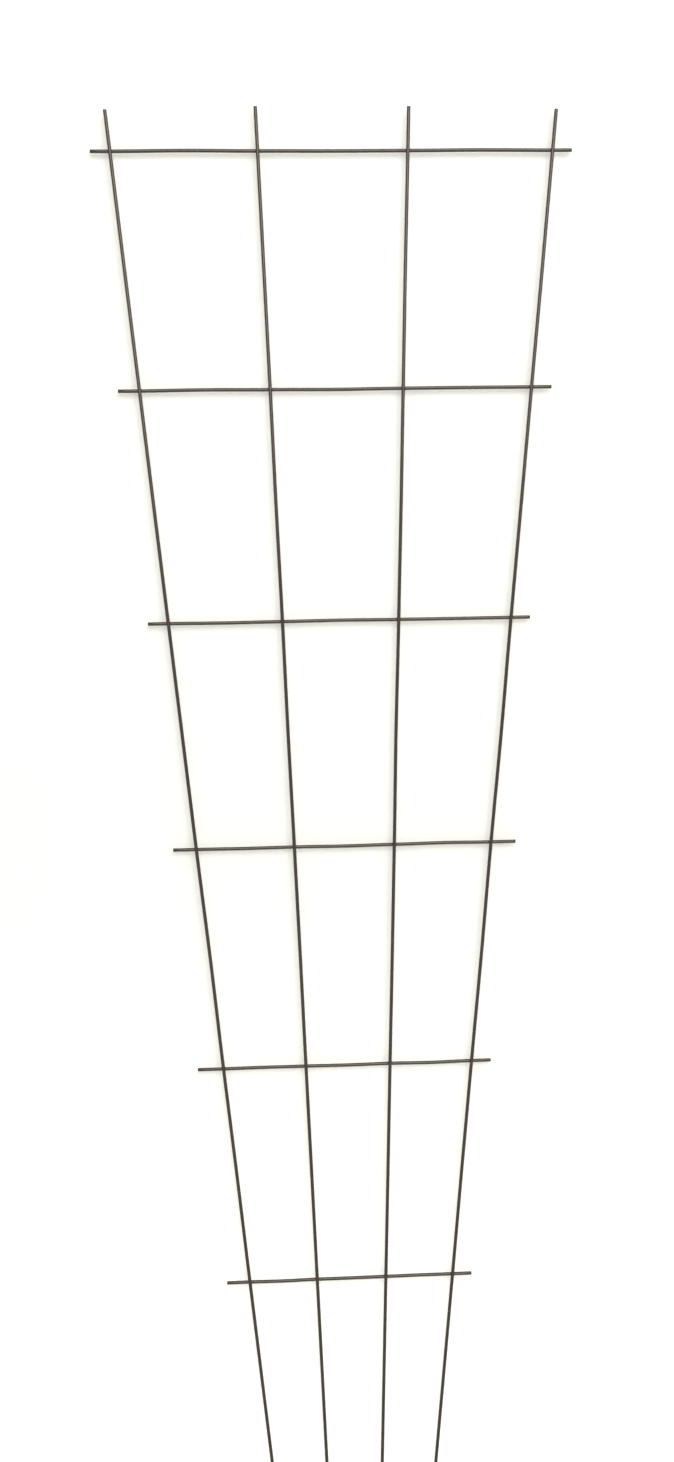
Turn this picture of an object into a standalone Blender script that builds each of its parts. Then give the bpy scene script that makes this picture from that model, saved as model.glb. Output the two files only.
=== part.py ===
"""Fan trellis: four steel uprights that spread upwards, six cross bars behind them, a weld at each crossing.

Metres, +Z up. The front, where the uprights are, faces -Y. The origin is on the ground under the middle.
"""

import math

import bmesh
import bpy
from mathutils import Matrix

# Rod stock
ROD_DIAMETER = 0.0048
ROD_SIDES = 24
END_BREAK = 0.0003

# Heights. The outer uprights lean more, so their tips stand a little lower over the top bar.
BAR_PITCH = 0.305
LEG_LENGTH = 0.3205
INNER_TOP_STUB = 0.0545
OUTER_TOP_STUB = 0.051

# Distance between the two uprights of a pair, at the top bar and at the lowest bar
OUTER_SPREAD_TOP = 0.576
OUTER_SPREAD_LOW = 0.282
INNER_SPREAD_TOP = 0.1955
INNER_SPREAD_LOW = 0.0955

# How far each bar passes the left and the right outer upright, top bar first. The bars were cut and laid by hand.
BAR_OVERHANGS = (
    (0.0260, 0.0260),
    (0.0285, 0.0275),
    (0.0275, 0.0265),
    (0.0315, 0.0345),
    (0.0355, 0.0275),
    (0.0320, 0.0275),
)

# Weld metal at a crossing: how far it stands past the rods' sides, and how far it climbs round each rod
WELD_TOE = 0.0011
WELD_CLIMB = 0.0020
WELD_SEGMENTS = 12
WELD_RINGS = 8

# Space left between neighbours that touch on the real trellis
CLEARANCE = 0.0003

# Places worked out from the sizes
BAR_COUNT = len(BAR_OVERHANGS)
LOWEST_BAR_Z = LEG_LENGTH
TOP_BAR_Z = LOWEST_BAR_Z + (BAR_COUNT - 1) * BAR_PITCH
UPRIGHT_Y = -(ROD_DIAMETER + CLEARANCE) / 2
BAR_Y = -UPRIGHT_Y

# Each upright's side of the middle, its pair's spread at the top bar and at the lowest bar, and its stub
UPRIGHTS = {
    "left_outer": (-1, OUTER_SPREAD_TOP, OUTER_SPREAD_LOW, OUTER_TOP_STUB),
    "left_inner": (-1, INNER_SPREAD_TOP, INNER_SPREAD_LOW, INNER_TOP_STUB),
    "right_inner": (1, INNER_SPREAD_TOP, INNER_SPREAD_LOW, INNER_TOP_STUB),
    "right_outer": (1, OUTER_SPREAD_TOP, OUTER_SPREAD_LOW, OUTER_TOP_STUB),
}


def clear_scene():
    for old in list(bpy.data.objects):
        bpy.data.objects.remove(old, do_unlink=True)


def new_collection(name):
    collection = bpy.data.collections.new(name)
    bpy.context.scene.collection.children.link(collection)
    return collection


def coat_material(name, colour, roughness, metallic):
    material = bpy.data.materials.new(name)
    material.use_nodes = True
    shader = material.node_tree.nodes["Principled BSDF"]
    shader.inputs["Base Color"].default_value = (*colour, 1.0)
    shader.inputs["Roughness"].default_value = roughness
    shader.inputs["Metallic"].default_value = metallic
    material.diffuse_color = (*colour, 1.0)
    return material


def upright_x(upright, height):
    """Distance of an upright's centre line from the middle, at a height; negative on the left."""
    side, spread_top, spread_low, _ = UPRIGHTS[upright]
    slope = (spread_top - spread_low) / 2 / (TOP_BAR_Z - LOWEST_BAR_Z)
    return side * (spread_low / 2 + slope * (height - LOWEST_BAR_Z))


def upright_top(upright):
    """Height of the middle of an upright's tip."""
    return TOP_BAR_Z + UPRIGHTS[upright][3]


def bar_height(bar):
    """Height of a cross bar, where bar 1 is the top one."""
    return TOP_BAR_Z - (bar - 1) * BAR_PITCH


def rod_object(name, collection, radius, length):
    """A round rod along its own +Z, from its origin."""
    mesh = bpy.data.meshes.new(name)
    shape = bmesh.new()
    bmesh.ops.create_cone(
        shape,
        cap_ends=True,
        segments=ROD_SIDES,
        radius1=radius,
        radius2=radius,
        depth=length,
        matrix=Matrix.Translation((0, 0, length / 2)),
    )
    shape.to_mesh(mesh)
    shape.free()
    mesh.shade_smooth()
    mesh.set_sharp_from_angle(angle=math.radians(40))
    rod = bpy.data.objects.new(name, mesh)
    collection.objects.link(rod)
    return rod


def break_ends(rod):
    """Takes the sharp rim off both cut ends."""
    bevel = rod.modifiers.new("end_break", "BEVEL")
    bevel.width = END_BREAK
    bevel.segments = 1
    bevel.limit_method = "ANGLE"
    bevel.angle_limit = math.radians(60)


def upright_axis(upright):
    """Foot height, lean and length of an upright. The low side of its square-cut foot touches the ground."""
    top_z = upright_top(upright)
    lean = math.atan2(upright_x(upright, top_z) - upright_x(upright, 0), top_z)
    foot_z = ROD_DIAMETER / 2 * math.sin(abs(lean))
    return foot_z, lean, (top_z - foot_z) / math.cos(lean)


def place_upright(rod, upright):
    """Stands a rod on the ground, leaning as its pair spreads."""
    foot_z, lean, _ = upright_axis(upright)
    rod.location = (upright_x(upright, foot_z), UPRIGHT_Y, foot_z)
    rod.rotation_euler = (0, lean, 0)


def bar_ends(bar):
    """Left and right end of a cross bar, past the outer uprights."""
    left, right = BAR_OVERHANGS[bar - 1]
    height = bar_height(bar)
    return upright_x("left_outer", height) - left, upright_x("right_outer", height) + right


def place_bar(rod, bar):
    """Lays a rod level behind the uprights."""
    rod.location = (bar_ends(bar)[0], BAR_Y, bar_height(bar))
    rod.rotation_euler = (0, math.pi / 2, 0)


def make_cutter(name, collection, length):
    """A rod with the clearance round it, which cuts the welds."""
    cutter = rod_object(name, collection, ROD_DIAMETER / 2 + CLEARANCE, length)
    cutter.hide_render = True
    cutter.display_type = "WIRE"
    return cutter


def make_weld(name, collection, material, place, cutters):
    """Weld metal in the corners of one crossing: a flat bead, cut away where the two rods are."""
    reach = ROD_DIAMETER / 2 + WELD_TOE
    mesh = bpy.data.meshes.new(name)
    shape = bmesh.new()
    bmesh.ops.create_uvsphere(
        shape,
        u_segments=WELD_SEGMENTS,
        v_segments=WELD_RINGS,
        radius=1,
        matrix=Matrix.Diagonal((reach, WELD_CLIMB, reach, 1)) @ Matrix.Rotation(math.pi / 2, 4, "X"),
    )
    shape.to_mesh(mesh)
    shape.free()
    mesh.shade_smooth()
    weld = bpy.data.objects.new(name, mesh)
    weld.location = place
    collection.objects.link(weld)
    weld.data.materials.append(material)
    for cutter in cutters:
        cut = weld.modifiers.new(f"clear_of_{cutter.name}", "BOOLEAN")
        cut.operation = "DIFFERENCE"
        cut.solver = "EXACT"
        cut.object = cutter
    return weld


def make_trellis():
    parts = new_collection("fan_trellis")
    cutters = new_collection("cutters")
    rod_coat = coat_material("dark_brown_powder_coat", (0.022, 0.015, 0.010), 0.40, 0.0)
    weld_coat = coat_material("coated_weld", (0.019, 0.013, 0.009), 0.45, 0.0)

    upright_cutters = {}
    for upright in UPRIGHTS:
        length = upright_axis(upright)[2]
        rod = rod_object(f"upright_{upright}", parts, ROD_DIAMETER / 2, length)
        rod.data.materials.append(rod_coat)
        break_ends(rod)
        cutter = make_cutter(f"clearance_{upright}", cutters, length)
        place_upright(rod, upright)
        place_upright(cutter, upright)
        upright_cutters[upright] = cutter

    for bar in range(1, BAR_COUNT + 1):
        left, right = bar_ends(bar)
        rod = rod_object(f"cross_bar_{bar}", parts, ROD_DIAMETER / 2, right - left)
        rod.data.materials.append(rod_coat)
        break_ends(rod)
        cutter = make_cutter(f"clearance_bar_{bar}", cutters, right - left)
        place_bar(rod, bar)
        place_bar(cutter, bar)
        for upright, upright_cutter in upright_cutters.items():
            place = (upright_x(upright, bar_height(bar)), 0, bar_height(bar))
            make_weld(f"weld_{bar}_{upright}", parts, weld_coat, place, (upright_cutter, cutter))


clear_scene()
make_trellis()
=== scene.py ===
import math
import random

import bmesh
import bpy
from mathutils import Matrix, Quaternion, Vector, noise


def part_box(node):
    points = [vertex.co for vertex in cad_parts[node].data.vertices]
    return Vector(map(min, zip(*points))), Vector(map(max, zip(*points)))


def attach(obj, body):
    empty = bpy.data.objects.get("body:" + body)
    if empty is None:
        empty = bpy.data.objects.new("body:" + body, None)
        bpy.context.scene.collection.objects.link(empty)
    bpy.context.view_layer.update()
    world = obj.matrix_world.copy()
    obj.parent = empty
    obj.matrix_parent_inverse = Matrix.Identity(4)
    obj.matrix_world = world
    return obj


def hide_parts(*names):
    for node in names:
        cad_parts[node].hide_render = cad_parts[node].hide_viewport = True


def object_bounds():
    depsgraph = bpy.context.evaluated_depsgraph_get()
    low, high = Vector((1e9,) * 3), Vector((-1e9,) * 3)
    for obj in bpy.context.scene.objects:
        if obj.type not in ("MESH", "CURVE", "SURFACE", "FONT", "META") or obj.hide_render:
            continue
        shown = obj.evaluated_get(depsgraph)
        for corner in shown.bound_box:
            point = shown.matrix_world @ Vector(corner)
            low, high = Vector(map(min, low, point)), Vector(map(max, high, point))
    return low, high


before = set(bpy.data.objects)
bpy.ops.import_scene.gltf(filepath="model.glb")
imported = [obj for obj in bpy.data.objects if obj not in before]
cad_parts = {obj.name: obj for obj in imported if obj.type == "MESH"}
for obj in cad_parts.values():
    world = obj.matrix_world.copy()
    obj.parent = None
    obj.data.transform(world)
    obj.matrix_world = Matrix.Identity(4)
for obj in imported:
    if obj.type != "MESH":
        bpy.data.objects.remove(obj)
CAD_LOW, CAD_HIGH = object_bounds()

MM = 0.001

# Names of the pieces, as the frame has them
UPRIGHTS = ("left_outer", "left_inner", "right_inner", "right_outer")
BARS = range(1, 7)

# Rounds in which the lean of a rod is found from its box
LEAN_ROUNDS = 6

# Rod surface: sides round a rod, distance between rings along it, and the sharpest edge shaded smooth
ROD_SIDES = 40
RING_STEP = 11 * MM
SMOOTH_EDGE = math.radians(50)

# A sheared end, from its rim inwards: how far in from the end, and share of the rod's radius there
SHEARED_RIM = (
    (0.42 * MM, 1.0),
    (0.14 * MM, 0.96),
    (0.03 * MM, 0.87),
    (0.0, 0.64),
    (0.02 * MM, 0.32),
)

# The break inside a sheared end's rim: the share of the radius that it takes, how rough it is, and its grain
BREAK_INSIDE = 0.9
BREAK_ROUGH = 0.06 * MM
BREAK_GRAIN = 3

# How far a sheared end is out of square, at least and at most
SHEAR_TILT = (math.radians(0.6), math.radians(3))

# How far a rod bows between two welds, beside and behind its straight line
SIDE_BOW = 0.7 * MM
DEPTH_BOW = 0.25 * MM

# Weld fillet: radius of its hollow, how much that radius varies round the joint, and in how many lumps
FILLET_RADIUS = 1.35 * MM
FILLET_UNEVEN = 0.22
FILLET_LUMPS = 1.7

# How deep the fillet's toes are sunk in the rods, and how far its root lies behind the hollow
FILLET_SUNK = 0.05 * MM
FILLET_ROOT = 0.5 * FILLET_RADIUS

# Steps of the fillet round the joint, and points across its hollow
FILLET_STEPS = 64
FILLET_ARC_POINTS = 8

# Powder coat, the same all over: its refraction, and the warm tint that fine mica gives its glint
COAT_IOR = 1.65
COAT_GLINT = "#fff3e7"

# Share of flecks in the coat's colour, share of draw lines in its relief, and how much duller a break is
FLECK_SHARE = 0.14
DRAW_LINE_SHARE = 0.35
BREAK_DULLER = 0.22

# The scale, along a rod, of the coat's thickness and of the draw lines, as a share of their scale across it
THICKNESS_ALONG = 0.12
DRAW_LINES_ALONG = 0.02

# Photograph: its size and the camera that a fit to the rods' crossings gave
PHOTO_SIZE = (674, 1462)
FOCAL_PIXELS = 1600
SENSOR = 36.0
CAMERA_AT = Vector((-0.1247, -2.1394, 1.2988))
CAMERA_LOOKS_AT = Vector((-0.0073, 0.0, 1.0873))
CAMERA_ROLL = math.radians(-0.973)

# Wall behind the trellis and floor under it
WALL_GAP = 7 * MM
STAGE_SIZE = 8.0

# How much the seen paint is lifted to white: on the wall by height, and on the floor by distance from the
# origin, both in metres
WALL_LIFT = ((0.01, 0.20), (0.03, 0.53), (0.34, 0.42), (0.85, 0.25), (1.00, 0.235))
FLOOR_LIFT = ((1.5, 0.20), (5.0, 0.55))

# Softbox high in front, a little to the right: where it stands, the point that it faces, its size and power
SOFTBOX_AT = Vector((0.6, -3.6, 3.1))
SOFTBOX_AIM = Vector((0.0, 0.0, 1.1))
SOFTBOX_SIZE = 3.4
SOFTBOX_POWER = 120
ROOM_LIGHT = 0.38


def linear(hex_colour):
    """An sRGB hex colour as linear red, green, blue and alpha."""
    codes = [int(hex_colour[i:i + 2], 16) / 255 for i in (1, 3, 5)]
    return [c / 12.92 if c <= 0.04045 else ((c + 0.055) / 1.055) ** 2.4 for c in codes] + [1.0]


def per_mm(size):
    """The scale of a pattern whose features are this many millimetres across."""
    return 1000 / size


def add_node(tree, kind, settings=None, inputs=None, stops=()):
    """Adds a node. An input is a value, or the output socket that is linked to it.

    The stops are those of a colour ramp.
    """
    node = tree.nodes.new(kind)
    for name, value in (settings or {}).items():
        setattr(node, name, value)
    for name, value in (inputs or {}).items():
        if isinstance(value, bpy.types.NodeSocket):
            tree.links.new(value, node.inputs[name])
        else:
            node.inputs[name].default_value = value
    for i, (position, colour) in enumerate(stops):
        elements = node.color_ramp.elements
        element = elements[i] if i < len(elements) else elements.new(position)
        element.position = position
        element.color = colour
    return node


def empty_material(name):
    """A new material and its node tree, with nothing in it yet."""
    material = bpy.data.materials.new(name)
    material.use_nodes = True
    material.node_tree.nodes.clear()
    return material, material.node_tree


def coat_surface(tree, colour, gloss, bump):
    """The surface of a powder coat, with the refraction and the glint that are the same all over."""
    shader = add_node(
        tree,
        "ShaderNodeBsdfPrincipled",
        inputs={
            "Base Color": colour,
            "Roughness": gloss,
            "Normal": bump,
            "IOR": COAT_IOR,
            "Specular Tint": linear(COAT_GLINT),
        },
    )
    add_node(tree, "ShaderNodeOutputMaterial", inputs={"Surface": shader.outputs["BSDF"]})


def powder_coated_rod():
    """Drawn steel rod under a semi-gloss dark brown powder coat, baked on.

    It is nearly black, and warm where it is lit, because fine mica in the powder tints the glint. The melted
    powder leaves a faint orange peel, and the die's draw lines show through it as faint streaks. Thick and
    thin stretches take turns along the rod. On a sheared end the coat is thin, dull and uneven.
    """
    material, tree = empty_material("powder_coated_rod")
    place = add_node(tree, "ShaderNodeAttribute", {"attribute_name": "rod_place"}).outputs["Vector"]
    sheared = add_node(tree, "ShaderNodeAttribute", {"attribute_name": "sheared"}).outputs["Fac"]

    along = add_node(tree, "ShaderNodeMapping", inputs={"Vector": place, "Scale": (1, 1, THICKNESS_ALONG)})
    thickness = add_node(
        tree,
        "ShaderNodeTexNoise",
        inputs={"Vector": along.outputs["Vector"], "Scale": per_mm(6), "Detail": 3, "Roughness": 0.55},
    )
    # A real grain of colour is about 0.1 mm across. It is drawn at 0.9 mm, the finest that a near view shows.
    fleck = add_node(
        tree,
        "ShaderNodeTexNoise",
        inputs={"Vector": place, "Scale": per_mm(0.9), "Detail": 2, "Roughness": 0.65},
    )
    coat = add_node(
        tree,
        "ShaderNodeValToRGB",
        inputs={"Fac": thickness.outputs["Fac"]},
        stops=((0.32, linear("#140b06")), (0.52, linear("#1b0f07")), (0.72, linear("#26170b"))),
    )
    flecks = add_node(
        tree,
        "ShaderNodeValToRGB",
        inputs={"Fac": fleck.outputs["Fac"]},
        stops=((0.40, linear("#0f0a07")), (0.64, linear("#422e22"))),
    )
    colour = add_node(
        tree,
        "ShaderNodeMix",
        {"data_type": "RGBA"},
        {"Factor": FLECK_SHARE, "A": coat.outputs["Color"], "B": flecks.outputs["Color"]},
    )
    thin_coat = add_node(
        tree,
        "ShaderNodeMix",
        {"data_type": "RGBA"},
        {"Factor": sheared, "A": colour.outputs["Result"], "B": linear("#29231e")},
    )

    gloss = add_node(
        tree,
        "ShaderNodeMapRange",
        inputs={
            "Value": thickness.outputs["Fac"],
            "From Min": 0.3,
            "From Max": 0.7,
            "To Min": 0.16,
            "To Max": 0.24,
        },
    )
    dull = add_node(
        tree,
        "ShaderNodeMath",
        {"operation": "MULTIPLY_ADD", "use_clamp": True},
        {0: sheared, 1: BREAK_DULLER, 2: gloss.outputs["Result"]},
    )

    # Real orange peel is about 0.5 mm across. It is drawn at 1 mm, as coarse as it needs to show.
    peel = add_node(
        tree,
        "ShaderNodeTexNoise",
        inputs={"Vector": place, "Scale": per_mm(1.0), "Detail": 1.5, "Roughness": 0.4},
    )
    drawn = add_node(tree, "ShaderNodeMapping", inputs={"Vector": place, "Scale": (1, 1, DRAW_LINES_ALONG)})
    streaks = add_node(
        tree,
        "ShaderNodeTexNoise",
        inputs={"Vector": drawn.outputs["Vector"], "Scale": per_mm(0.5), "Detail": 2, "Roughness": 0.5},
    )
    relief = add_node(
        tree,
        "ShaderNodeMath",
        {"operation": "MULTIPLY_ADD"},
        {0: streaks.outputs["Fac"], 1: DRAW_LINE_SHARE, 2: peel.outputs["Fac"]},
    )
    bump = add_node(
        tree,
        "ShaderNodeBump",
        inputs={"Strength": 0.4, "Distance": 0.08 * MM, "Height": relief.outputs["Value"]},
    )
    coat_surface(tree, thin_coat.outputs["Result"], dull.outputs["Value"], bump.outputs["Normal"])
    return material


def powder_coated_weld():
    """The same coat over weld metal. It pools in the hollow, which darkens it, and covers small ripples."""
    material, tree = empty_material("powder_coated_weld")
    place = add_node(tree, "ShaderNodeTexCoord").outputs["Object"]
    ripple = add_node(
        tree,
        "ShaderNodeTexNoise",
        inputs={"Vector": place, "Scale": per_mm(1.5), "Detail": 4, "Roughness": 0.6},
    )
    coat = add_node(
        tree,
        "ShaderNodeValToRGB",
        inputs={"Fac": ripple.outputs["Fac"]},
        stops=((0.30, linear("#110a06")), (0.55, linear("#180f08")), (0.80, linear("#291a0f"))),
    )
    gloss = add_node(
        tree,
        "ShaderNodeMapRange",
        inputs={
            "Value": ripple.outputs["Fac"],
            "From Min": 0.3,
            "From Max": 0.7,
            "To Min": 0.34,
            "To Max": 0.55,
        },
    )
    bump = add_node(
        tree,
        "ShaderNodeBump",
        inputs={"Strength": 0.6, "Distance": 0.15 * MM, "Height": ripple.outputs["Fac"]},
    )
    coat_surface(tree, coat.outputs["Color"], gloss.outputs["Result"], bump.outputs["Normal"])
    return material


def seen_directly(tree):
    """1 for what the camera sees, also by reflection or through glass, and 0 for light on its way."""
    path = add_node(tree, "ShaderNodeLightPath")
    seen = path.outputs["Is Camera Ray"]
    for kind in ("Is Glossy Ray", "Is Transmission Ray"):
        seen = add_node(
            tree, "ShaderNodeMath", {"operation": "MAXIMUM"}, {0: seen, 1: path.outputs[kind]}
        ).outputs["Value"]
    return seen


def matt_paint(tree, place, paint_colour, seen_colour, lift):
    """Matt paint, rolled on. What the camera sees of it is lifted to white, and shadows stay.

    It is open from the back, so that the wall doesn't hide the trellis from a view behind it.
    """
    paint = add_node(tree, "ShaderNodeBsdfDiffuse", inputs={"Color": linear(paint_colour)})
    strength = add_node(
        tree,
        "ShaderNodeMath",
        {"operation": "MULTIPLY"},
        {0: seen_directly(tree), 1: lift},
    )
    glow = add_node(
        tree,
        "ShaderNodeEmission",
        inputs={"Color": linear(seen_colour), "Strength": strength.outputs["Value"]},
    )
    front = add_node(tree, "ShaderNodeAddShader", inputs={0: paint.outputs[0], 1: glow.outputs[0]})
    back = add_node(tree, "ShaderNodeBsdfTransparent")
    sides = add_node(
        tree,
        "ShaderNodeMixShader",
        inputs={0: place.outputs["Backfacing"], 1: front.outputs[0], 2: back.outputs[0]},
    )
    add_node(tree, "ShaderNodeOutputMaterial", inputs={"Surface": sides.outputs[0]})


def painted_wall():
    """Warm white wall. Where it is lit it looks white, and the shade beside a rod looks a little cream."""
    material, tree = empty_material("painted_wall")
    place = add_node(tree, "ShaderNodeNewGeometry")
    height = add_node(tree, "ShaderNodeSeparateXYZ", inputs={"Vector": place.outputs["Position"]})
    lift = add_node(
        tree,
        "ShaderNodeValToRGB",
        inputs={"Fac": height.outputs["Z"]},
        stops=[(metres, [level, level, level, 1]) for metres, level in WALL_LIFT],
    )
    matt_paint(tree, place, "#ecece5", "#fffff8", lift.outputs["Color"])
    return material


def painted_floor():
    """Neutral white floor. It is lifted little near the trellis, where shadows fall, and more far from it."""
    material, tree = empty_material("painted_floor")
    place = add_node(tree, "ShaderNodeNewGeometry")
    away = add_node(
        tree,
        "ShaderNodeVectorMath",
        {"operation": "LENGTH"},
        {0: place.outputs["Position"]},
    )
    near, far = FLOOR_LIFT
    lift = add_node(
        tree,
        "ShaderNodeMapRange",
        inputs={
            "Value": away.outputs["Value"],
            "From Min": near[0],
            "From Max": far[0],
            "To Min": near[1],
            "To Max": far[1],
        },
    )
    matt_paint(tree, place, "#ececea", "#ffffff", lift.outputs["Result"])
    return material


def centre_of(node):
    """The middle of a node's box."""
    low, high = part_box(node)
    return (low + high) / 2


def rod_in_box(node):
    """Two end centres and the radius of the straight round rod that fills a node's box.

    The width of a leaning rod takes up some of the box, the more it leans, so the lean is found in rounds.
    An upright leans away from the middle.
    """
    low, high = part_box(node)
    size = high - low
    radius = size.y / 2
    lean = math.atan2(size.x, size.z)
    for _ in range(LEAN_ROUNDS):
        lean = math.atan2(size.x - 2 * radius * math.cos(lean), size.z - 2 * radius * math.sin(lean))
    length = math.hypot(size.x - 2 * radius * math.cos(lean), size.z - 2 * radius * math.sin(lean))
    middle = (low + high) / 2
    side = -1 if middle.x < 0 and size.z > size.x else 1
    half = Vector((side * math.sin(lean), 0, math.cos(lean))) * length / 2
    return middle - half, middle + half, radius


def mesh_piece(name, shape, material):
    """An object made of a finished shape, in one material."""
    bmesh.ops.recalc_face_normals(shape, faces=shape.faces)
    mesh = bpy.data.meshes.new(name)
    shape.to_mesh(mesh)
    shape.free()
    mesh.shade_smooth()
    mesh.set_sharp_from_angle(angle=SMOOTH_EDGE)
    mesh.materials.append(material)
    made = bpy.data.objects.new(name, mesh)
    bpy.context.scene.collection.objects.link(made)
    return made


def bridge(shape, ring, following):
    """Faces between two closed rings of vertices."""
    for i, corner in enumerate(ring):
        j = (i + 1) % len(ring)
        shape.faces.new((corner, ring[j], following[j], following[i]))


def bow_at(distance, welds, bows):
    """How far a rod is off its straight line there: nothing at a weld, and most midway between two."""
    for start, end, bow in zip(welds, welds[1:], bows):
        if start < distance < end:
            return bow * math.sin(math.pi * (distance - start) / (end - start)) ** 2
    return Vector((0, 0))


def drawn_rod(node, crossings, material):
    """A round rod with sheared ends that stands for a rod of the frame, bowed a little between its welds."""
    start, end, radius = rod_in_box(node)
    along = (end - start).normalized()
    length = (end - start).length
    depth = Vector((0, 1, 0))
    across = along.cross(depth)
    chance = random.Random(node)
    welds = sorted((crossing - start).dot(along) for crossing in crossings)
    bows = [
        Vector((chance.uniform(-SIDE_BOW, SIDE_BOW), chance.uniform(-DEPTH_BOW, DEPTH_BOW)))
        for _ in welds[1:]
    ]
    tilts = [(chance.uniform(*SHEAR_TILT), chance.uniform(0, math.tau)) for _ in range(2)]
    seed = chance.uniform(0, 100)

    shape = bmesh.new()
    rod_place = shape.verts.layers.float_vector.new("rod_place")
    sheared = shape.verts.layers.float.new("sheared")

    def add_point(distance, share, turn, which_end):
        """A point of the skin. The end that it belongs to is 0, 1 or, between the ends, None."""
        inwards = 0.0
        if which_end is not None:
            tilt, towards = tilts[which_end]
            inwards = math.tan(tilt) * radius * (1 + share * math.cos(turn - towards))
            if share < BREAK_INSIDE:
                spot = Vector((share * math.cos(turn), share * math.sin(turn), seed + which_end))
                inwards += BREAK_ROUGH * (1 + noise.noise(spot * BREAK_GRAIN))
            if which_end == 1:
                inwards = -inwards
        beside = radius * share * math.cos(turn)
        behind = radius * share * math.sin(turn)
        side_bow, depth_bow = bow_at(distance, welds, bows)
        point = shape.verts.new(
            start + along * (distance + inwards) + across * (beside + side_bow) + depth * (behind + depth_bow)
        )
        point[rod_place] = Vector((beside, behind, distance + inwards))
        point[sheared] = 1.0 if share < BREAK_INSIDE else 0.0
        return point

    stations = [(inset, share, 0) for inset, share in reversed(SHEARED_RIM)]
    steps = math.ceil(length / RING_STEP)
    stations += [(length * i / steps, 1.0, None) for i in range(1, steps)]
    stations += [(length - inset, share, 1) for inset, share in SHEARED_RIM]
    rings = [
        [add_point(distance, share, math.tau * i / ROD_SIDES, which_end) for i in range(ROD_SIDES)]
        for distance, share, which_end in stations
    ]
    for ring, following in zip(rings, rings[1:]):
        bridge(shape, ring, following)
    for ring, distance, which_end in ((rings[0], 0.0, 0), (rings[-1], length, 1)):
        middle = add_point(distance, 0.0, 0.0, which_end)
        for i in range(ROD_SIDES):
            shape.faces.new((ring[i], ring[(i + 1) % ROD_SIDES], middle))
    made = mesh_piece(f"drawn_{node}", shape, material)
    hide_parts(node)
    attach(made, "root")


def weld_fillet(node, upright_node, material):
    """The hollow of weld metal and coat round a crossing: where a ball rolls round both rods at once."""
    crossing = centre_of(node)
    start, end, radius = rod_in_box(upright_node)
    lean = math.atan2(end.x - start.x, end.z - start.z)
    apart = abs(start.y)
    seed = random.Random(node).uniform(0, 100)

    shape = bmesh.new()
    rings = []
    for i in range(FILLET_STEPS):
        turn = math.tau * i / FILLET_STEPS
        uneven = noise.noise(Vector((math.cos(turn) * FILLET_LUMPS, math.sin(turn) * FILLET_LUMPS, seed)))
        ball = FILLET_RADIUS * (1 + FILLET_UNEVEN * uneven)
        reach = radius - FILLET_SUNK + ball
        y = -(reach - apart) * math.cos(2 * turn)
        beside = math.copysign(math.sqrt(max(reach**2 - (y + apart) ** 2, 0)), math.cos(turn))
        above = math.copysign(math.sqrt(max(reach**2 - (y - apart) ** 2, 0)), math.sin(turn))
        centre = Vector(((beside + above * math.sin(lean)) / math.cos(lean), y, above))
        from_upright = Vector((beside * math.cos(lean), y + apart, -beside * math.sin(lean))) / reach
        from_bar = Vector((0, y - apart, above)) / reach
        ring = []
        for j in range(FILLET_ARC_POINTS):
            towards = from_upright.slerp(from_bar, j / (FILLET_ARC_POINTS - 1))
            ring.append(shape.verts.new(crossing + centre - towards * ball))
        root = (from_upright + from_bar).normalized() * (ball + FILLET_ROOT)
        ring.append(shape.verts.new(crossing + centre - root))
        rings.append(ring)
    for ring, following in zip(rings, rings[1:] + rings[:1]):
        bridge(shape, ring, following)
    made = mesh_piece(f"fillet_{node}", shape, material)
    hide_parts(node)
    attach(made, "root")


def dress_trellis():
    """Draws all rods and welds over the frame's own, each from the same crossings."""
    rod_coat = powder_coated_rod()
    weld_coat = powder_coated_weld()
    for upright in UPRIGHTS:
        crossings = [centre_of(f"weld_{bar}_{upright}") for bar in BARS]
        drawn_rod(f"upright_{upright}", crossings, rod_coat)
    for bar in BARS:
        crossings = [centre_of(f"weld_{bar}_{upright}") for upright in UPRIGHTS]
        drawn_rod(f"cross_bar_{bar}", crossings, rod_coat)
        for upright in UPRIGHTS:
            weld_fillet(f"weld_{bar}_{upright}", f"upright_{upright}", weld_coat)


def stage_plane(name, centre, rotation, material):
    """A square of the stage, as wide as the stage is."""
    shape = bmesh.new()
    bmesh.ops.create_grid(shape, x_segments=1, y_segments=1, size=STAGE_SIZE / 2)
    made = mesh_piece(name, shape, material)
    made.location = centre
    made.rotation_euler = rotation


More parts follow.
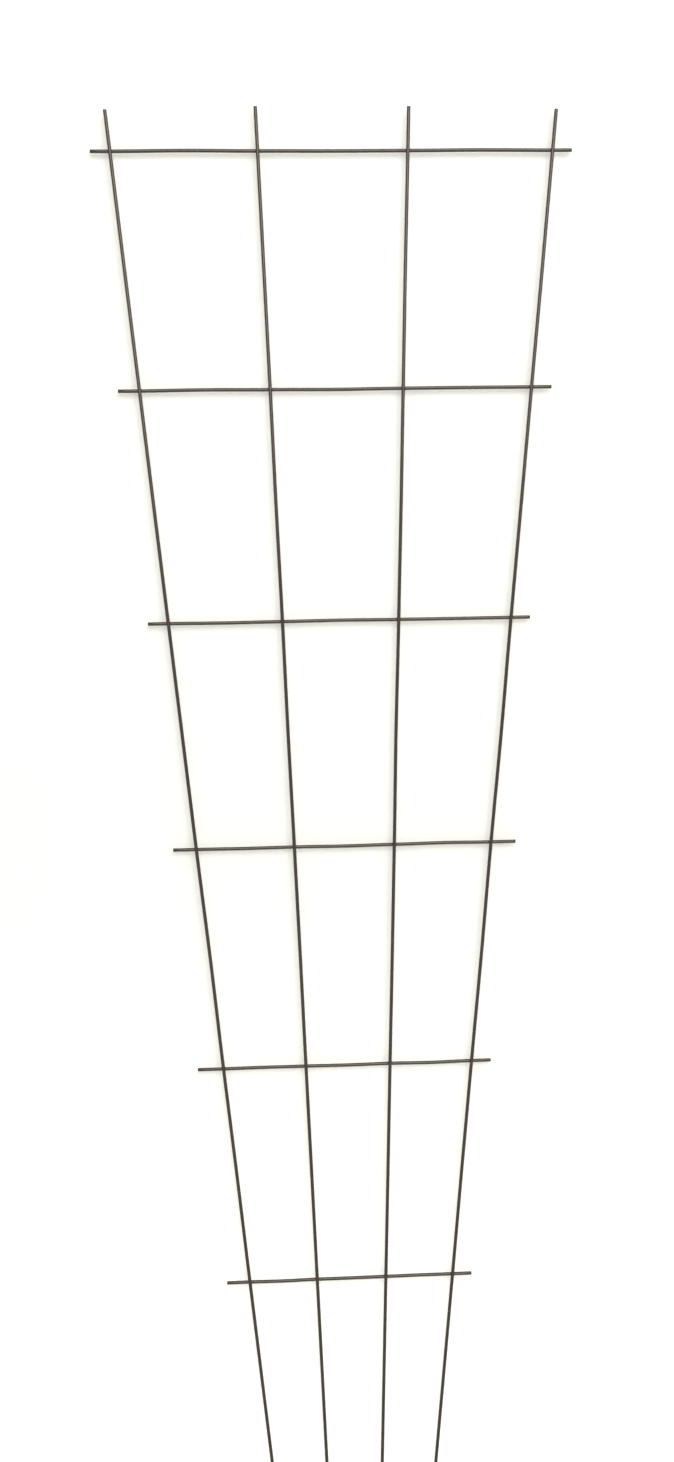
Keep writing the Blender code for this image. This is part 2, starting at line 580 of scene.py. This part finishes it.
def build_stage():
    """The wall close behind the trellis, and the floor in front of it."""
    wall_y = CAD_HIGH.y + WALL_GAP
    stage_plane("wall", (0, wall_y, STAGE_SIZE / 2), (math.radians(90), 0, 0), painted_wall())
    stage_plane("floor", (0, wall_y - STAGE_SIZE / 2, 0), (0, 0, 0), painted_floor())


def light_studio():
    """One big softbox high in front, a little to the right, and an even room round it."""
    softbox = bpy.data.lights.new("softbox", "AREA")
    softbox.shape = "DISK"
    softbox.size = SOFTBOX_SIZE
    softbox.energy = SOFTBOX_POWER
    lamp = bpy.data.objects.new("softbox", softbox)
    lamp.location = SOFTBOX_AT
    lamp.rotation_mode = "QUATERNION"
    lamp.rotation_quaternion = (SOFTBOX_AIM - SOFTBOX_AT).to_track_quat("-Z", "Y")
    bpy.context.scene.collection.objects.link(lamp)

    world = bpy.data.worlds.new("white_studio")
    world.use_nodes = True
    tree = world.node_tree
    tree.nodes.clear()
    white = (1, 1, 1, 1)
    room = add_node(tree, "ShaderNodeBackground", inputs={"Color": white, "Strength": ROOM_LIGHT})
    backdrop = add_node(tree, "ShaderNodeBackground", inputs={"Color": white, "Strength": 1.0})
    mix = add_node(
        tree,
        "ShaderNodeMixShader",
        inputs={0: seen_directly(tree), 1: room.outputs[0], 2: backdrop.outputs[0]},
    )
    add_node(tree, "ShaderNodeOutputWorld", inputs={"Surface": mix.outputs[0]})
    bpy.context.scene.world = world


def place_camera():
    """The photograph's view. The long side of the picture is as wide as the sensor."""
    data = bpy.data.cameras.new("photograph_view")
    data.sensor_width = SENSOR
    data.lens = FOCAL_PIXELS * SENSOR / max(PHOTO_SIZE)
    data.clip_start = 0.05
    data.clip_end = 50
    camera = bpy.data.objects.new("photograph_view", data)
    camera.location = CAMERA_AT
    forward = (CAMERA_LOOKS_AT - CAMERA_AT).normalized()
    camera.rotation_mode = "QUATERNION"
    camera.rotation_quaternion = forward.to_track_quat("-Z", "Y") @ Quaternion((0, 0, 1), CAMERA_ROLL)
    bpy.context.scene.collection.objects.link(camera)
    bpy.context.scene.camera = camera


place_camera()
dress_trellis()
build_stage()
light_studio()
bpy.context.scene.view_settings.view_transform = "Standard"
